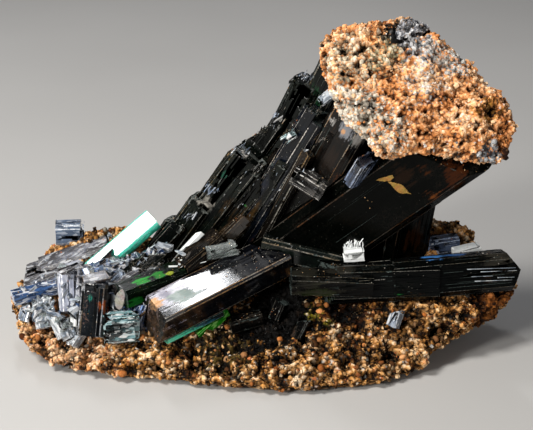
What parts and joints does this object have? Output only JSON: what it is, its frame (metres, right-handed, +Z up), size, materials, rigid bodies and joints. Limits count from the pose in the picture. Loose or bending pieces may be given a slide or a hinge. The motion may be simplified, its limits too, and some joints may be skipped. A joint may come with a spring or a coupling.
{
  "type": "vivianite crystal group on matrix",
  "caption": "Natural vivianite specimen: dark prismatic crystals leaning up from a slab of granular orange-brown matrix, with a crust of the same matrix over their ends.",
  "frame": {"origin": "middle of the group's outline, at the level it stands on", "axes": "+X to the right along the slab, towards the side the large crystals lean to; +Y away from the front; +Z up"},
  "size_m": [0.0908, 0.0402, 0.0596],
  "materials": {
    "limonite_matrix": "rough, granular, earthy",
    "black_crystal": "glassy, near black with a green cast",
    "smoky_crystal": "glassy, smoky brown, iron stained",
    "tarnished_crystal": "pearly, striated, blue-grey tarnish",
    "teal_crystal": "glassy, see-through teal",
    "green_crystal": "glassy, see-through green",
    "pale_crystal": "glassy, pale grey, crumbly"
  },
  "bodies": {
    "root": {"front_prism": "black_crystal", "main_prism": "black_crystal", "smoky_prism": "smoky_crystal", "blue_blade": "tarnished_crystal", "outer_blade": "black_crystal", "low_blade": "black_crystal", "stained_blade": "smoky_crystal", "rough_blade": "black_crystal", "tall_blade": "black_crystal", "high_blade": "black_crystal", "back_prism": "black_crystal", "support_prism": "black_crystal", "thin_blade": "black_crystal", "inner_blade": "black_crystal", "back_blade": "black_crystal", "stacked_block": "pale_crystal", "comb_block": "tarnished_crystal", "fan_chip": "pale_crystal", "end_chip": "teal_crystal", "foot_block": "smoky_crystal", "right_prism": "black_crystal", "middle_prism": "black_crystal", "white_block": "pale_crystal", "teal_prism": "teal_crystal", "dark_teal_block": "teal_crystal", "grey_blade": "tarnished_crystal", "blue_blade_low": "tarnished_crystal", "striated_block": "pale_crystal", "dark_block": "black_crystal", "left_shard": "pale_crystal", "low_shard": "pale_crystal", "pale_sliver": "pale_crystal", "green_prism": "green_crystal", "teal_block": "teal_crystal", "grey_prism": "pale_crystal", "spotted_prism": "black_crystal", "glassy_block": "pale_crystal", "back_left_block": "tarnished_crystal", "top_white_block": "pale_crystal", "edge_shard": "tarnished_crystal", "front_shard": "pale_crystal", "white_sliver": "pale_crystal", "corner_block": "tarnished_crystal", "corner_shard": "tarnished_crystal", "brown_block": "smoky_crystal", "ridge_block": "tarnished_crystal", "shell_block": "smoky_crystal", "bright_edge_blade": "pale_crystal", "hidden_block": "black_crystal", "mint_sliver": "teal_crystal", "green_leaf": "green_crystal", "hollow_crystal": "black_crystal", "glinting_crystal": "black_crystal", "mound_crystal": "tarnished_crystal", "crust_knob": "black_crystal", "back_right_block": "tarnished_crystal", "back_right_chip": "pale_crystal", "matrix_slab": "limonite_matrix", "matrix_crust": "limonite_matrix"}
  },
  "joints": []
}
